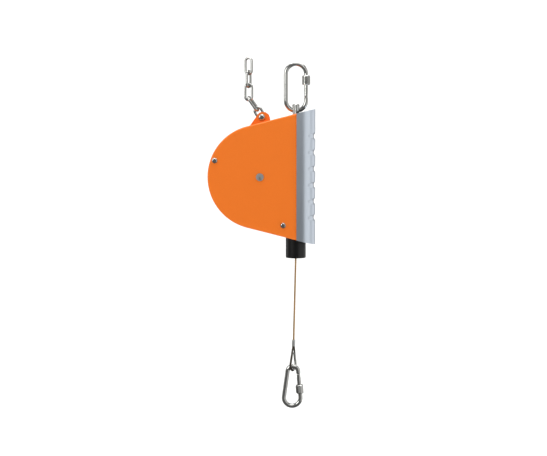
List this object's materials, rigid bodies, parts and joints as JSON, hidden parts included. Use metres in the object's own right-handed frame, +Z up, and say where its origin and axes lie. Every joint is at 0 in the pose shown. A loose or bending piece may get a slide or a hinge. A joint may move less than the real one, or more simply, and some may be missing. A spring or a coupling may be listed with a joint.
{
  "type": "self retracting lifeline",
  "caption": "Flat D shaped self retracting lifeline with a finger notched grip, swivel eye and carabiner on top, safety chain, buffer nozzle and thin wire rope with a screw gate hook.",
  "frame": {"origin": "inside top of the oval carabiner, where the load bears", "axes": "+Z up against the pull of the rope, +Y from the front face to the rear, +X towards the grip"},
  "size_m": [0.149, 0.0533, 0.4914],
  "materials": {
    "orange_paint": "semi gloss powder coat",
    "anodised": "satin anodised",
    "steel": "machined",
    "zinc": "bright zinc plated",
    "rubber": "matt",
    "plastic": "moulded",
    "bronze": "sintered",
    "rope": "stranded, coated",
    "spring_steel": "blued strip",
    "cast": "die cast"
  },
  "bodies": {
    "hanger": {"oval_frame": "zinc", "oval_gate_pin": "zinc"},
    "hanger_gate": {"oval_gate": "zinc"},
    "hanger_nut": {"oval_screw_nut": "zinc"},
    "eye": {"swivel_eye": "zinc", "eye_nut": "zinc", "eye_washer": "steel"},
    "housing": {"front_shell": "orange_paint", "rear_shell": "orange_paint", "grip_profile": "anodised", "grip_end_caps": "plastic", "suspension_block": "steel", "swivel_bush": "bronze", "guide_block": "plastic", "rope_nozzle": "rubber", "nozzle_insert": "plastic", "rope_lead": "rope", "axle": "steel", "axle_nut": "zinc", "axle_spacers": "zinc", "ratchet_ring": "steel", "ring_screws": "zinc", "face_screws": "zinc", "face_screw_nuts": "zinc", "shell_spacers": "zinc", "block_screws": "zinc", "ear_bolt": "zinc", "ear_nut": "zinc"},
    "drum": {"drum": "cast", "drum_flange": "cast", "spring_cover": "cast", "drum_bushes": "bronze", "power_spring": "spring_steel", "rope_winding": "rope", "pawl_pins": "steel", "pawl_springs": "spring_steel"},
    "pawl_upper": {"pawl_1": "steel"},
    "pawl_lower": {"pawl_2": "steel"},
    "rope_end": {"wire_rope": "rope", "ferrule": "steel", "rope_eye": "rope", "thimble": "zinc"},
    "hook": {"hook_frame": "zinc", "hook_gate_pin": "zinc"},
    "hook_gate": {"hook_gate": "zinc"},
    "hook_nut": {"hook_screw_nut": "zinc"},
    "link_1": {"chain_link_1": "zinc"},
    "link_2": {"chain_link_2": "zinc"},
    "link_3": {"chain_link_3": "zinc"},
    "link_4": {"chain_link_4": "zinc"},
    "link_5": {"chain_link_5": "zinc"}
  },
  "joints": [
    {"name": "eye_swing", "type": "hinge", "parent": "hanger", "child": "eye", "pos_m": [0, 0, -0.0616], "axis": [1, 0, 0], "range_deg": [-40, 40]},
    {"name": "swivel", "type": "hinge", "parent": "eye", "child": "housing", "pos_m": [0, 0, -0.08], "axis": [0, 0, 1], "continuous": true},
    {"name": "drum_spin", "type": "hinge", "parent": "housing", "child": "drum", "pos_m": [-0.05, 0, -0.153], "axis": [0, 1, 0], "range_deg": [-120, 1830], "stiffness_Nm_per_rad": 0.0005, "springref_deg": -572.96},
    {"name": "pawl_upper_swing", "type": "hinge", "parent": "drum", "child": "pawl_upper", "pos_m": [-0.05, 0, -0.126], "axis": [0, -1, 0], "range_deg": [0, 14], "stiffness_Nm_per_rad": 0.001, "springref_deg": -28.65},
    {"name": "pawl_lower_swing", "type": "hinge", "parent": "drum", "child": "pawl_lower", "pos_m": [-0.05, 0, -0.18], "axis": [0, -1, 0], "range_deg": [0, 14], "stiffness_Nm_per_rad": 0.001, "springref_deg": -28.65},
    {"name": "rope_pull", "type": "slide", "parent": "housing", "child": "rope_end", "axis": [-0.0244, 0, -0.9997], "range_m": [-0.1075, 1.6], "deforming": ["wire_rope"]},
    {"name": "hook_swing", "type": "hinge", "parent": "rope_end", "child": "hook", "pos_m": [-0.00385, 0, -0.42355], "axis": [0, 1, 0], "range_deg": [-15, 15]},
    {"name": "hook_gate_open", "type": "hinge", "parent": "hook", "child": "hook_gate", "pos_m": [0.00396, 0, -0.43156], "axis": [0, 1, 0], "range_deg": [0, 22], "stiffness_Nm_per_rad": 0.02, "springref_deg": -28.65},
    {"name": "hook_nut_travel", "type": "slide", "parent": "hook_gate", "child": "hook_nut", "axis": [0.0898, 0, -0.996], "range_m": [0, 0.0035]},
    {"name": "hanger_gate_open", "type": "hinge", "parent": "hanger", "child": "hanger_gate", "pos_m": [0.014, 0, -0.0415], "axis": [0, -1, 0], "range_deg": [0, 22], "stiffness_Nm_per_rad": 0.02, "springref_deg": -28.65},
    {"name": "hanger_nut_travel", "type": "slide", "parent": "hanger_gate", "child": "hanger_nut", "axis": [0, 0, 1], "range_m": [0, 0.0035]},
    {"name": "link_5_tilt", "type": "hinge", "parent": "housing", "child": "link_5", "pos_m": [-0.0472, 0, -0.0709], "axis": [0, 1, 0], "range_deg": [-30, 10]},
    {"name": "link_4_tilt", "type": "hinge", "parent": "link_5", "child": "link_4", "pos_m": [-0.05285, 0, -0.06111], "axis": [0, 1, 0], "range_deg": [-20, 10]},
    {"name": "link_3_tilt", "type": "hinge", "parent": "link_4", "child": "link_3", "pos_m": [-0.06547, 0, -0.04309], "axis": [0, 1, 0], "range_deg": [-20, 5]},
    {"name": "link_2_tilt", "type": "hinge", "parent": "link_3", "child": "link_2", "pos_m": [-0.06547, 0, -0.02889], "axis": [0, 1, 0], "range_deg": [-8, 10]},
    {"name": "link_1_tilt", "type": "hinge", "parent": "link_2", "child": "link_1", "pos_m": [-0.06547, 0, -0.00689], "axis": [0, 1, 0], "range_deg": [-20, 10]}
  ],
  "couplings": [
    {"joint": "rope_pull", "follows": "drum_spin", "m_per_rad": 0.05}
  ]
}
